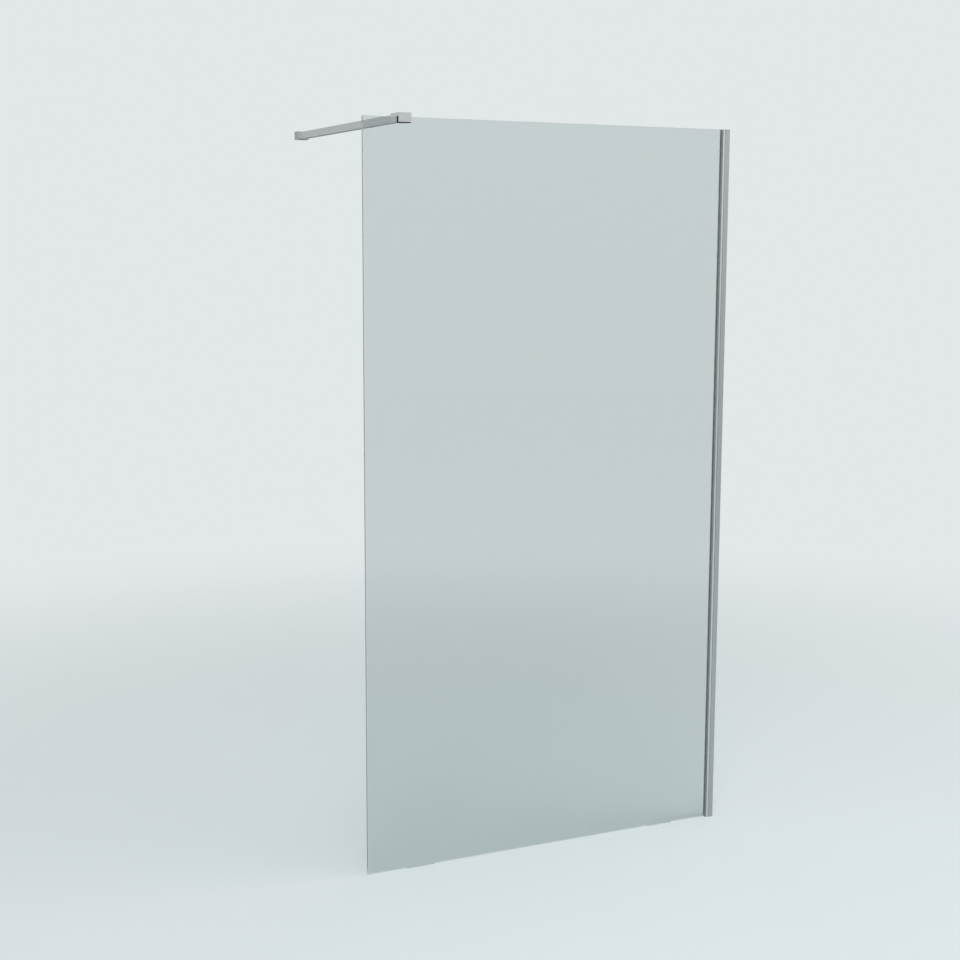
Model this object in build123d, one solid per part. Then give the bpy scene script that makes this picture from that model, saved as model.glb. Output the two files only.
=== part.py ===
from build123d import *
import os

# Walk-in shower screen: one fixed glass panel, a two-part wall profile at its right edge and a square
# brace bar from the top of the glass to the wall behind it. Millimetres, +Z up.
# The origin is where the side wall, the floor and the glass's centre plane meet. The side wall is X = 0,
# the glass runs towards -X, the floor is Z = 0 and the shower side, with the back wall, is +Y.

# Whole screen
SCREEN_WIDTH = 1094.0
SCREEN_HEIGHT = 2000.0
BACK_WALL_Y = 805.0

# Glass panel
GLASS_THICKNESS = 8.0
GLASS_EDGE_CHAMFER = 0.8
GLASS_CORNER_RADIUS = 2.0
FLOOR_GAP = 2.0

# Wall channel, the outer extrusion that is screwed to the side wall
CHANNEL_DEPTH = 25.0
CHANNEL_REACH = 14.0
CHANNEL_LEG = 1.6
CHANNEL_WEB = 1.8
GUIDE_NIB_HEIGHT = 0.25
GUIDE_NIB_WIDTH = 1.0
GUIDE_NIB_INSET = 0.5
DRILL_GROOVE = 0.7
WALL_HOLE_RADIUS = 2.75
WALL_HOLE_HEIGHTS = (150.0, 725.0, 1275.0, 1850.0)

# Glazing channel, the inner extrusion that holds the glass and slides in the wall channel
GLAZING_REACH = 20.0
GLAZING_BACK = 6.4
GLAZING_WALL = 1.5
GLAZING_EDGE_RADIUS = 0.7
SLIDE_CLEARANCE = 0.4
LIP_THICKNESS = 1.4
GROOVE_WIDTH = 3.2
GROOVE_MOUTH = 2.2
HOOK_HEIGHT = 0.8
SEAL_THICKNESS = 3.2
PACKER_THICKNESS = 2.0
PACKER_LENGTH = 60.0
PACKER_HEIGHTS = (200.0, 1000.0, 1800.0)
PACKER_SEAT_HEIGHT = 0.8
PACKER_SEAT_WIDTH = 0.9
PACKER_SEAT_CLEARANCE = 0.3

# Glazing seals
SEAL_NOSE = 3.3
NOSE_OVERLAP = 1.3
NOSE_MIDDLE_REACH = 0.75
NOSE_MIDDLE_RISE = 0.75
SEAL_TAIL = 0.6
SEAL_FIT = 0.1
FIN_SCOOPS = 3
FIN_SCOOP_RADIUS = 1.2
FIN_SCOOP_DEPTH = 0.35

# Channel end cap
CAP_PLATE = 1.6
CAP_TONGUE_LENGTH = 12.0
CAP_TONGUE_THICKNESS = 1.3
CAP_TONGUE_CLEARANCE = 0.4

# Locking screws of the wall channel, with their washers and snap caps
LOCK_SCREW_X = -10.0
LOCK_SCREW_HEIGHTS = (300.0, 1000.0, 1700.0)
LOCK_SCREW_RADIUS = 1.5
LOCK_HEAD_RADIUS = 2.7
LOCK_HEAD_HEIGHT = 1.7
LOCK_HEAD_BEVEL = 0.7
CROSS_LENGTH = 3.0
CROSS_WIDTH = 0.7
CROSS_DEPTH = 1.0
WASHER_THICKNESS = 0.6
WASHER_RADIUS = 3.1
WASHER_CLEARANCE = 0.2
SNAP_CAP_RADIUS = 3.9
SNAP_CAP_HEIGHT = 3.3
SNAP_CAP_WALL = 0.7
SNAP_CAP_BEVEL = 1.1
SNAP_CAP_INNER_BEVEL = 0.4

# Setting blocks under the glass
BLOCK_LENGTH = 80.0
BLOCK_CORNER = 1.5
BLOCK_PLACES = (-180.0, -940.0)

# Brace bar, a square tube, and the block that it ends in at each side
BRACE_X = -981.0
BRACE_Z = 1999.0
BAR_SIZE = 20.0
BAR_WALL = 1.5
BAR_CORNER = 1.2
BLOCK_WIDTH = 35.0
BLOCK_HEIGHT = 24.0
BLOCK_EDGE = 0.5
SOCKET_CLEARANCE = 0.15

# Glass clamp
JAW_FRONT_Y = -10.5
JAW_TOP_RADIUS = 1.0
LINER_SIDE = 3.2
LINER_TOP = 1.5
LINER_DROP = 2.0
LINER_CLEARANCE = 0.1
LINER_INSET = 0.4
CLAMP_SOCKET_FLOOR_Y = 14.0
CLAMP_BACK_Y = 44.0
PLATE_THICKNESS = 1.2
PLATE_WIDTH = 28.0
PLATE_HEIGHT = 9.0
PLATE_CORNER = 1.0
PLATE_CLEARANCE = 0.2
GRUB_RADIUS = 2.5
GRUB_CLEARANCE = 0.05
GRUB_KEY = 2.5
GRUB_POINT = 0.6
CLAMP_GRUB_SPACING = 14.0
CLAMP_GRUB_LENGTH = 5.0
SIDE_GRUB_LENGTH = 6.0
CLAMP_BAR_SCREW_Y = 32.0

# Wall bracket
PAD_THICKNESS = 1.0
PAD_MARGIN = 1.0
PAD_HOLE_CLEARANCE = 1.0
BASE_THICKNESS = 5.0
SPIGOT_LENGTH = 8.0
SPIGOT_CLEARANCE = 0.2
BRACKET_HOLE_RADIUS = 2.75
COUNTERSINK_RADIUS = 5.5
BRACKET_DEPTH = 27.0
BAR_END_GAP = 3.5
BAR_GRUB_INSET = 5.0
SPIGOT_GRUB_INSET = 4.0

# How far a cut runs past the face it opens, and how near a corner has to be to count as on a line
OVERCUT = 1.0
NEAR = 0.01

GLASS_FACE = GLASS_THICKNESS / 2
HALF_DEPTH = CHANNEL_DEPTH / 2
CHANNEL_INSIDE = HALF_DEPTH - CHANNEL_LEG
GLAZING_HALF = CHANNEL_INSIDE - SLIDE_CLEARANCE
GLAZING_INSIDE = GLAZING_HALF - GLAZING_WALL
GLAZING_FLOOR_X = -GLAZING_BACK - GLAZING_WALL
GLASS_EDGE_X = GLAZING_FLOOR_X - PACKER_THICKNESS
SEAL_FACE = GLASS_FACE + SEAL_THICKNESS
GROOVE_FRONT_X = -GLAZING_REACH + LIP_THICKNESS
GROOVE_BACK_X = GROOVE_FRONT_X + GROOVE_WIDTH
GROOVE_MIDDLE_X = (GROOVE_FRONT_X + GROOVE_BACK_X) / 2
CHANNEL_TOP = SCREEN_HEIGHT - CAP_PLATE
BLOCK_BOTTOM = BRACE_Z - BLOCK_HEIGHT / 2
BLOCK_TOP = BRACE_Z + BLOCK_HEIGHT / 2
SOCKET_SIZE = BAR_SIZE + 2 * SOCKET_CLEARANCE
SLOT_HALF = GLASS_FACE + LINER_CLEARANCE + LINER_SIDE
SLOT_TOP = SCREEN_HEIGHT + LINER_CLEARANCE + LINER_TOP
BASE_BACK_Y = BACK_WALL_Y - PAD_THICKNESS
BASE_FRONT_Y = BASE_BACK_Y - BASE_THICKNESS
SPIGOT_FRONT_Y = BASE_FRONT_Y - SPIGOT_LENGTH
SOCKET_FRONT_Y = BACK_WALL_Y - BRACKET_DEPTH
BAR_END_Y = SPIGOT_FRONT_Y - BAR_END_GAP
RIGHT_SIDE_X = BRACE_X + BLOCK_WIDTH / 2


def plan_rect(x0, x1, y0, y1):
    """A rectangle on the floor plane, between two X and two Y places."""
    return Pos((x0 + x1) / 2, (y0 + y1) / 2) * Rectangle(x1 - x0, y1 - y0)


def block(x0, x1, y0, y1, z0, z1):
    """A plain block between two corners."""
    return Pos(0, 0, z0) * extrude(plan_rect(x0, x1, y0, y1), amount=z1 - z0)


def both_sides(half):
    """A half section on the shower side, with its mirror image on the other side of the glass."""
    return half + mirror(half, about=Plane.XZ)


def pointing(x, y, z, direction):
    """The place whose own +Z points along a direction, such as a screw's head away from its wall."""
    return Plane(origin=(x, y, z), z_dir=direction).location


def wall_channel_section():
    """A U open towards the glass, with guide nibs inside its legs and a drill groove in its web."""
    outside = plan_rect(-CHANNEL_REACH, 0, -HALF_DEPTH, HALF_DEPTH)
    inside = plan_rect(-CHANNEL_REACH, -CHANNEL_WEB, -CHANNEL_INSIDE, CHANNEL_INSIDE)
    section = outside - inside
    rear_nib = -CHANNEL_WEB - GUIDE_NIB_INSET - GUIDE_NIB_WIDTH
    for nib_x in (-CHANNEL_REACH + GUIDE_NIB_INSET, rear_nib):
        nib = plan_rect(nib_x, nib_x + GUIDE_NIB_WIDTH, CHANNEL_INSIDE - GUIDE_NIB_HEIGHT, CHANNEL_INSIDE)
        section += both_sides(nib)
    section -= Pos(-CHANNEL_WEB, 0) * Rot(0, 0, 45) * Rectangle(DRILL_GROOVE, DRILL_GROOVE)
    tips = section.vertices().filter_by(lambda v: v.X < NEAR - CHANNEL_REACH)
    outer_tips = tips.filter_by(lambda v: abs(v.Y) > HALF_DEPTH - NEAR)
    return fillet(outer_tips, radius=CHANNEL_LEG / 2)


def wall_profile():
    """The wall channel, with its wall screw holes and the pilot holes for the locking screws."""
    channel = extrude(wall_channel_section(), amount=SCREEN_HEIGHT)
    for z in WALL_HOLE_HEIGHTS:
        channel -= pointing(-CHANNEL_WEB, 0, z, (1, 0, 0)) * Cylinder(WALL_HOLE_RADIUS, 3 * CHANNEL_WEB)
    for z in LOCK_SCREW_HEIGHTS:
        pilot = Cylinder(LOCK_SCREW_RADIUS + GRUB_CLEARANCE, 3 * CHANNEL_LEG)
        channel -= pointing(LOCK_SCREW_X, HALF_DEPTH, z, (0, 1, 0)) * pilot
    return channel


def glazing_section():
    """The inner channel: turned-in front lips and inner ribs, which hook over the foot of each seal."""
    outside = plan_rect(-GLAZING_REACH, -GLAZING_BACK, -GLAZING_HALF, GLAZING_HALF)
    inside = plan_rect(-GLAZING_REACH, GLAZING_FLOOR_X, -GLAZING_INSIDE, GLAZING_INSIDE)
    hook = (GROOVE_WIDTH - GROOVE_MOUTH) / 2
    lip = plan_rect(-GLAZING_REACH, GROOVE_FRONT_X, SEAL_FACE, GLAZING_INSIDE)
    lip += plan_rect(-GLAZING_REACH, GROOVE_FRONT_X + hook, SEAL_FACE, SEAL_FACE + HOOK_HEIGHT)
    rib = plan_rect(GROOVE_BACK_X, GROOVE_BACK_X + LIP_THICKNESS, SEAL_FACE, GLAZING_INSIDE)
    rib += plan_rect(GROOVE_BACK_X - hook, GROOVE_BACK_X, SEAL_FACE, SEAL_FACE + HOOK_HEIGHT)
    seat_x = GLAZING_FLOOR_X - PACKER_SEAT_HEIGHT
    seat_y = GLASS_FACE + PACKER_SEAT_CLEARANCE
    seat = plan_rect(seat_x, GLAZING_FLOOR_X, seat_y, seat_y + PACKER_SEAT_WIDTH)
    section = outside - inside + both_sides(lip + rib + seat)
    tips = section.vertices().filter_by(lambda v: v.X < NEAR - GLAZING_REACH)
    outer_tips = tips.filter_by(lambda v: abs(v.Y) > GLAZING_HALF - NEAR)
    return fillet(outer_tips, radius=GLAZING_EDGE_RADIUS)


def glazing_profile():
    """The glazing channel, as long as the glass less the end cap."""
    return extrude(glazing_section(), amount=CHANNEL_TOP)


def seal_section():
    """One seal: a hooked foot in the groove, fins against the glass and a soft nose over the lip."""
    back_x = GROOVE_BACK_X + LIP_THICKNESS + SEAL_TAIL
    nose_rise = SEAL_THICKNESS + NOSE_OVERLAP
    with BuildSketch() as section:
        with BuildLine():
            Polyline(
                (-GLAZING_REACH, GLASS_FACE + nose_rise),
                (-GLAZING_REACH, SEAL_FACE),
                (back_x, SEAL_FACE),
                (back_x, GLASS_FACE),
                (-GLAZING_REACH - SEAL_NOSE, GLASS_FACE),
            )
            ThreePointArc(
                (-GLAZING_REACH - SEAL_NOSE, GLASS_FACE),
                (
                    -GLAZING_REACH - NOSE_MIDDLE_REACH * SEAL_NOSE,
                    GLASS_FACE + NOSE_MIDDLE_RISE * nose_rise,
                ),
                (-GLAZING_REACH, GLASS_FACE + nose_rise),
            )
        make_face()
    neck_half = GROOVE_MOUTH / 2 - SEAL_FIT
    head_half = GROOVE_WIDTH / 2 - SEAL_FIT
    head_low = SEAL_FACE + HOOK_HEIGHT + SEAL_FIT
    neck = plan_rect(GROOVE_MIDDLE_X - neck_half, GROOVE_MIDDLE_X + neck_half, SEAL_FACE, head_low)
    head = plan_rect(
        GROOVE_MIDDLE_X - head_half, GROOVE_MIDDLE_X + head_half, head_low, GLAZING_INSIDE - SEAL_FIT
    )
    seal = section.sketch + neck + head
    pitch = (back_x + GLAZING_REACH) / FIN_SCOOPS
    for i in range(FIN_SCOOPS):
        scoop_x = -GLAZING_REACH + (i + 0.5) * pitch
        scoop = Pos(scoop_x, GLASS_FACE + FIN_SCOOP_DEPTH - FIN_SCOOP_RADIUS) * Circle(FIN_SCOOP_RADIUS)
        seal -= scoop
    return seal


def rear_gasket():
    """The seal on the shower side of the glass."""
    return extrude(seal_section(), amount=CHANNEL_TOP)


def front_gasket():
    """The seal on the dry side of the glass."""
    return extrude(mirror(seal_section(), about=Plane.XZ), amount=CHANNEL_TOP)


def glass_panel():
    """The pane, with small round corners at its free side and all its long edges ground off."""
    width = SCREEN_WIDTH + GLASS_EDGE_X
    height = SCREEN_HEIGHT - FLOOR_GAP
    middle_x = (GLASS_EDGE_X - SCREEN_WIDTH) / 2
    middle_z = (SCREEN_HEIGHT + FLOOR_GAP) / 2
    outline = Rectangle(width, height)
    free_corners = outline.vertices().filter_by(lambda v: v.X < 0)
    outline = fillet(free_corners, radius=GLASS_CORNER_RADIUS)
    pane = extrude(Plane.XZ.offset(-GLASS_FACE) * outline, amount=GLASS_THICKNESS)
    faces = pane.faces().filter_by(Axis.Y)
    pane = chamfer(faces.edges(), length=GLASS_EDGE_CHAMFER)
    return Pos(middle_x, 0, middle_z) * pane


def edge_packers():
    """Packers between the edge of the glass and the floor of the glazing channel."""
    packers = []
    for z in PACKER_HEIGHTS:
        section = plan_rect(GLASS_EDGE_X, GLAZING_FLOOR_X, -GLASS_FACE, GLASS_FACE)
        packers.append(Pos(0, 0, z - PACKER_LENGTH / 2) * extrude(section, amount=PACKER_LENGTH))
    return Compound(packers)


def setting_blocks():
    """Clear blocks that carry the glass just off the floor."""
    blocks = []
    for x in BLOCK_PLACES:
        pad = block(x - BLOCK_LENGTH / 2, x + BLOCK_LENGTH / 2, -GLASS_FACE, GLASS_FACE, 0, FLOOR_GAP)
        blocks.append(chamfer(pad.edges().filter_by(Axis.Z), length=BLOCK_CORNER))
    return Compound(blocks)


def channel_cap():
    """Moulded cap pressed into the top of the glazing channel, with a slot for the glass."""
    plate = plan_rect(-GLAZING_REACH, -GLAZING_BACK, -GLAZING_HALF, GLAZING_HALF)
    plate -= plan_rect(-GLAZING_REACH, GLASS_EDGE_X, -GLASS_FACE, GLASS_FACE)
    cap = Pos(0, 0, CHANNEL_TOP) * extrude(plate, amount=CAP_PLATE)
    tongue_y = GLAZING_INSIDE - CAP_TONGUE_THICKNESS - SEAL_FIT
    tongue = plan_rect(
        GROOVE_BACK_X + LIP_THICKNESS + SEAL_TAIL + CAP_TONGUE_CLEARANCE,
        GLAZING_FLOOR_X - CAP_TONGUE_CLEARANCE,
        tongue_y,
        GLAZING_INSIDE - SEAL_FIT,
    )
    cap += Pos(0, 0, CHANNEL_TOP - CAP_TONGUE_LENGTH) * extrude(both_sides(tongue), amount=CAP_TONGUE_LENGTH)
    return cap


def locking_screw():
    """A pan-head screw with its bearing face at zero and its shank below, pressing on the inner channel."""
    shank_length = CHANNEL_LEG + SLIDE_CLEARANCE + WASHER_THICKNESS - GRUB_CLEARANCE
    shank = Pos(0, 0, -shank_length / 2) * Cylinder(LOCK_SCREW_RADIUS, shank_length)
    head = Pos(0, 0, LOCK_HEAD_HEIGHT / 2) * Cylinder(LOCK_HEAD_RADIUS, LOCK_HEAD_HEIGHT)
    head = chamfer(head.edges().group_by(Axis.Z)[-1], length=LOCK_HEAD_BEVEL)
    cross = Rectangle(CROSS_LENGTH, CROSS_WIDTH) + Rectangle(CROSS_WIDTH, CROSS_LENGTH)
    head -= Pos(0, 0, LOCK_HEAD_HEIGHT - CROSS_DEPTH) * extrude(cross, amount=2 * CROSS_DEPTH)
    return shank + head


def lock_places(height_above_leg):
    """The places of the locking screws on the shower-side leg, each pointing away from the glass."""
    y = HALF_DEPTH + height_above_leg
    return [pointing(LOCK_SCREW_X, y, z, (0, 1, 0)) for z in LOCK_SCREW_HEIGHTS]


def locking_screws():
    """The screws that lock the glazing channel in the wall channel once the glass is plumb."""
    screw = locking_screw()
    return Compound([place * screw for place in lock_places(WASHER_THICKNESS)])


def cap_washers():
    """The nylon washers under the screw heads, on which the caps snap."""
    ring = Cylinder(WASHER_RADIUS, WASHER_THICKNESS)
    ring -= Cylinder(LOCK_SCREW_RADIUS + WASHER_CLEARANCE, 2 * WASHER_THICKNESS)
    return Compound([place * ring for place in lock_places(WASHER_THICKNESS / 2)])


def screw_caps():
    """Hollow caps with a bevelled crown, which hide the screw heads."""
    outside = Pos(0, 0, SNAP_CAP_HEIGHT / 2) * Cylinder(SNAP_CAP_RADIUS, SNAP_CAP_HEIGHT)
    outside = chamfer(outside.edges().group_by(Axis.Z)[-1], length=SNAP_CAP_BEVEL)
    inside_height = SNAP_CAP_HEIGHT - SNAP_CAP_WALL
    inside = Pos(0, 0, inside_height / 2) * Cylinder(SNAP_CAP_RADIUS - SNAP_CAP_WALL, inside_height)
    inside = chamfer(inside.edges().group_by(Axis.Z)[-1], length=SNAP_CAP_INNER_BEVEL)
    cap = outside - inside
    return Compound([place * cap for place in lock_places(0)])


def grub_screw(length):
    """A socket grub screw from zero upwards: a flat point below and a hexagon socket in its top."""
    screw = Pos(0, 0, length / 2) * Cylinder(GRUB_RADIUS - GRUB_CLEARANCE, length)
    screw = chamfer(screw.edges().group_by(Axis.Z)[0], length=GRUB_POINT)
    key = RegularPolygon(radius=GRUB_KEY / 2, side_count=6, major_radius=False)
    return screw - Pos(0, 0, length - GRUB_KEY) * extrude(key, amount=2 * GRUB_KEY)


def grub_hole(depth):
    """The tapped hole of a grub screw, from zero upwards."""
    return Pos(0, 0, depth / 2) * Cylinder(GRUB_RADIUS, depth)


def bar_socket(y0, y1):
    """The square room that the brace bar enters, between two places along it."""
    section = RectangleRounded(SOCKET_SIZE, SOCKET_SIZE, BAR_CORNER)
    return Pos(BRACE_X, y0, BRACE_Z) * extrude(Plane.XZ * section, amount=y0 - y1)


def clamp_side_section():
    """The clamp seen from its side: a hook over the glass in front and a block behind."""
    left = JAW_FRONT_Y
    outline = Pos((left + CLAMP_BACK_Y) / 2, BRACE_Z) * Rectangle(CLAMP_BACK_Y - left, BLOCK_HEIGHT)
    slot_low = BLOCK_BOTTOM - OVERCUT
    slot = Pos(0, (slot_low + SLOT_TOP) / 2) * Rectangle(2 * SLOT_HALF, SLOT_TOP - slot_low)
    section = outline - slot
    jaw_top = section.vertices().filter_by(lambda v: v.X < left + NEAR and v.Y > BRACE_Z)
    return fillet(jaw_top, radius=JAW_TOP_RADIUS)


def clamp_grub_places():
    """The places of the two screws that press on the glass, at the socket's floor."""
    z = (BLOCK_BOTTOM + SCREEN_HEIGHT) / 2
    y = SLOT_HALF + PLATE_THICKNESS
    half = CLAMP_GRUB_SPACING / 2
    return [pointing(BRACE_X + side * half, y, z, (0, 1, 0)) for side in (-1, 1)]


def side_grub_place(y):
    """The place of a screw that presses on the right side of the bar, from inside the block's side."""
    return pointing(BRACE_X + BAR_SIZE / 2, y, BRACE_Z, (1, 0, 0))


def clamp_outer_edges(body):
    """The edges of the clamp's two sides and of its back, apart from those of the slot for the glass."""
    edges = body.faces().filter_by(Axis.X).edges()
    edges = edges.filter_by(lambda e: abs(e.center().Y) > SLOT_HALF + NEAR)
    return edges + body.faces().sort_by(Axis.Y)[-1].edges().filter_by(Axis.X)


def clamp_body():
    """The block that hooks over the top of the glass and takes the end of the bar in a square socket."""
    body = extrude(Plane.YZ * clamp_side_section(), amount=BLOCK_WIDTH / 2, both=True)
    body = Pos(BRACE_X, 0, 0) * body
    body = chamfer(clamp_outer_edges(body), length=BLOCK_EDGE)
    body -= bar_socket(CLAMP_SOCKET_FLOOR_Y, CLAMP_BACK_Y + OVERCUT)
    middle_z = (BLOCK_BOTTOM + SCREEN_HEIGHT) / 2
    body -= block(
        BRACE_X - PLATE_WIDTH / 2,
        BRACE_X + PLATE_WIDTH / 2,
        SLOT_HALF - OVERCUT,
        SLOT_HALF + PLATE_THICKNESS,
        middle_z - PLATE_HEIGHT / 2,
        middle_z + PLATE_HEIGHT / 2,
    )
    for place in clamp_grub_places():
        body -= place * grub_hole(CLAMP_SOCKET_FLOOR_Y)
    body -= side_grub_place(CLAMP_BAR_SCREW_Y) * grub_hole(BLOCK_WIDTH)
    return body


def clamp_liner():
    """The rubber U between the clamp and the glass, which shows a little below the clamp."""
    bottom = BLOCK_BOTTOM - LINER_DROP
    outside = Pos(0, (bottom + SLOT_TOP) / 2) * Rectangle(2 * SLOT_HALF, SLOT_TOP - bottom)
    glass_half = GLASS_FACE + LINER_CLEARANCE
    glass_top = SCREEN_HEIGHT + LINER_CLEARANCE
    inside = Pos(0, (bottom + glass_top) / 2) * Rectangle(2 * glass_half, glass_top - bottom)
    section = outside - inside
    liner = extrude(Plane.YZ * section, amount=BLOCK_WIDTH / 2 - LINER_INSET, both=True)
    return Pos(BRACE_X, 0, 0) * liner


def clamp_pressure_plate():
    """The steel plate that spreads the load of the two screws over the liner."""
    middle_z = (BLOCK_BOTTOM + SCREEN_HEIGHT) / 2
    width = PLATE_WIDTH - 2 * PLATE_CLEARANCE
    plate = RectangleRounded(width, PLATE_HEIGHT - 2 * PLATE_CLEARANCE, PLATE_CORNER)
    return Pos(BRACE_X, SLOT_HALF, middle_z) * extrude(Plane.XZ * plate, amount=-PLATE_THICKNESS)


def clamp_grub_screws():
    """The two screws behind the pressure plate, reached through the socket before the bar goes in."""
    screw = grub_screw(CLAMP_GRUB_LENGTH)
    return Compound([place * screw for place in clamp_grub_places()])


def clamp_bar_screw():
    """The screw that holds the bar in the clamp."""
    return side_grub_place(CLAMP_BAR_SCREW_Y) * grub_screw(SIDE_GRUB_LENGTH)


def brace_bar():
    """The square tube, from the clamp's socket to the wall bracket's socket."""
    outside = RectangleRounded(BAR_SIZE, BAR_SIZE, BAR_CORNER)
    bore = BAR_SIZE - 2 * BAR_WALL
    section = outside - RectangleRounded(bore, bore, BAR_CORNER / 2)
    length = BAR_END_Y - CLAMP_SOCKET_FLOOR_Y
    return Pos(BRACE_X, CLAMP_SOCKET_FLOOR_Y, BRACE_Z) * extrude(Plane.XZ * section, amount=-length)


def bracket_base():
    """The plate that is screwed to the back wall, with a square spigot that centres the socket."""
    plate_face = Rectangle(BLOCK_WIDTH, BLOCK_HEIGHT)
    plate = extrude(Plane.XZ * plate_face, amount=BASE_THICKNESS)
    back_edges = plate.faces().sort_by(Axis.Y)[-1].edges()
    plate = chamfer(plate.edges() - back_edges, length=BLOCK_EDGE)
    spigot_size = SOCKET_SIZE - 2 * SPIGOT_CLEARANCE
    spigot_face = RectangleRounded(spigot_size, spigot_size, BAR_CORNER)
    spigot = extrude(Plane.XZ * spigot_face, amount=BASE_THICKNESS + SPIGOT_LENGTH)
    base = plate + spigot
    total = BASE_THICKNESS + SPIGOT_LENGTH
    base -= pointing(0, -total / 2, 0, (0, 1, 0)) * Cylinder(BRACKET_HOLE_RADIUS, 2 * total)
    sink_depth = COUNTERSINK_RADIUS - BRACKET_HOLE_RADIUS
    sink = Cone(COUNTERSINK_RADIUS, BRACKET_HOLE_RADIUS, sink_depth)
    base -= pointing(0, -total + sink_depth / 2, 0, (0, 1, 0)) * sink
    return Pos(BRACE_X, BASE_BACK_Y, BRACE_Z) * base


def bracket_wall_pad():
    """The thin rubber pad between the bracket's plate and the wall."""
    face = Rectangle(BLOCK_WIDTH - 2 * PAD_MARGIN, BLOCK_HEIGHT - 2 * PAD_MARGIN)
    face -= Circle(BRACKET_HOLE_RADIUS + PAD_HOLE_CLEARANCE)
    return Pos(BRACE_X, BACK_WALL_Y, BRACE_Z) * extrude(Plane.XZ * face, amount=PAD_THICKNESS)


def bracket_socket():
    """The housing that slides over the spigot and holds the wall end of the bar."""
    depth = BASE_FRONT_Y - SOCKET_FRONT_Y
    face = Rectangle(BLOCK_WIDTH, BLOCK_HEIGHT)
    body = Pos(BRACE_X, BASE_FRONT_Y, BRACE_Z) * extrude(Plane.XZ * face, amount=depth)
    body = chamfer(body.edges(), length=BLOCK_EDGE)
    body -= bar_socket(SOCKET_FRONT_Y - OVERCUT, BASE_FRONT_Y + OVERCUT)
    for y in bracket_grub_heights():
        body -= side_grub_place(y) * grub_hole(BLOCK_WIDTH)
    return body


def bracket_grub_heights():
    """The places along the bar of the two screws in the housing: one on the bar, one on the spigot."""
    return (SOCKET_FRONT_Y + BAR_GRUB_INSET, BASE_FRONT_Y - SPIGOT_GRUB_INSET)


def bracket_grub_screws():
    """The screws of the housing, just clear of the bar and the spigot."""
    lift = Pos(SOCKET_CLEARANCE, 0, 0)
    screw = grub_screw(SIDE_GRUB_LENGTH)
    return Compound([lift * side_grub_place(y) * screw for y in bracket_grub_heights()])


PARTS = {
    "wall_profile": wall_profile,
    "glazing_profile": glazing_profile,
    "front_gasket": front_gasket,
    "rear_gasket": rear_gasket,
    "glass_panel": glass_panel,
    "edge_packers": edge_packers,
    "setting_blocks": setting_blocks,
    "channel_cap": channel_cap,
    "locking_screws": locking_screws,
    "cap_washers": cap_washers,
    "screw_caps": screw_caps,
    "clamp_body": clamp_body,
    "clamp_liner": clamp_liner,
    "clamp_pressure_plate": clamp_pressure_plate,
    "clamp_grub_screws": clamp_grub_screws,
    "clamp_bar_screw": clamp_bar_screw,
    "brace_bar": brace_bar,
    "bracket_base": bracket_base,
    "bracket_wall_pad": bracket_wall_pad,
    "bracket_socket": bracket_socket,
    "bracket_grub_screws": bracket_grub_screws,
}

os.makedirs("parts", exist_ok=True)
for node_name, make in PARTS.items():
    export_step(make(), f"parts/{node_name}.step")
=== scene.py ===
"""Looks of a walk-in shower screen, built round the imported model.

The screen is one clear pane in a two-part aluminium wall profile, held at the top by a square brace bar
with a clamp on the glass and a bracket on the wall. Every length is in metres. The side wall is the plane
X = 0, the glass runs towards -X, the shower side is +Y and the floor is Z = 0.
"""

from __future__ import annotations

import logging
import math
from dataclasses import dataclass, field
from enum import Enum
from typing import Callable, ClassVar, Iterable, Union

import bmesh
import bpy
from mathutils import Matrix, Vector


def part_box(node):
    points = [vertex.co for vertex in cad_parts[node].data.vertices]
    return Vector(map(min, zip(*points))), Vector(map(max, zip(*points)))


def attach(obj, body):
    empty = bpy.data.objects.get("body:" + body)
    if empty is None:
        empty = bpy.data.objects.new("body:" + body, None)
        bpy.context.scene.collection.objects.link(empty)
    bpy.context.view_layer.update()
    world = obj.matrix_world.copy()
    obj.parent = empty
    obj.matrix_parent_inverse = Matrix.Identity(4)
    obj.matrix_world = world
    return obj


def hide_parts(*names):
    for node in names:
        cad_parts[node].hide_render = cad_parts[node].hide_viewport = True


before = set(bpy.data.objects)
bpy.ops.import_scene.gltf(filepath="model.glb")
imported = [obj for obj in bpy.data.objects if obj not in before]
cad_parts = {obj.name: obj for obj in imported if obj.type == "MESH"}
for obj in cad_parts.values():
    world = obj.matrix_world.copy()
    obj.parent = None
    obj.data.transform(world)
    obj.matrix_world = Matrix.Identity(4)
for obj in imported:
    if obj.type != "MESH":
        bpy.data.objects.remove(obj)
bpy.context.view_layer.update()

LOG = logging.getLogger("shower_screen")
MM = 0.001
NEAR = 0.01 * MM
SHARP_ANGLE = math.radians(32)

Colour = tuple[float, float, float]
Source = Union[float, tuple[float, ...], bpy.types.NodeSocket]


def opaque(colour: Colour) -> tuple[float, float, float, float]:
    """Returns a colour with full alpha."""
    return (*colour, 1.0)


def scaled(colour: Colour, factor: float) -> Colour:
    """Returns a colour made lighter or darker, kept within one."""
    return tuple(min(part * factor, 1.0) for part in colour)


class Axis(Enum):
    """A main direction of the model."""

    X = 0
    Y = 1
    Z = 2

    @property
    def vector(self) -> Vector:
        """The unit vector along this direction."""
        return Vector([float(place == self.value) for place in range(3)])


class Body(Enum):
    """The moving bodies that new pieces ride on."""

    WALL_CHANNEL = "wall_channel"
    BRACE = "brace"
    HOUSING = "housing"


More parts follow.
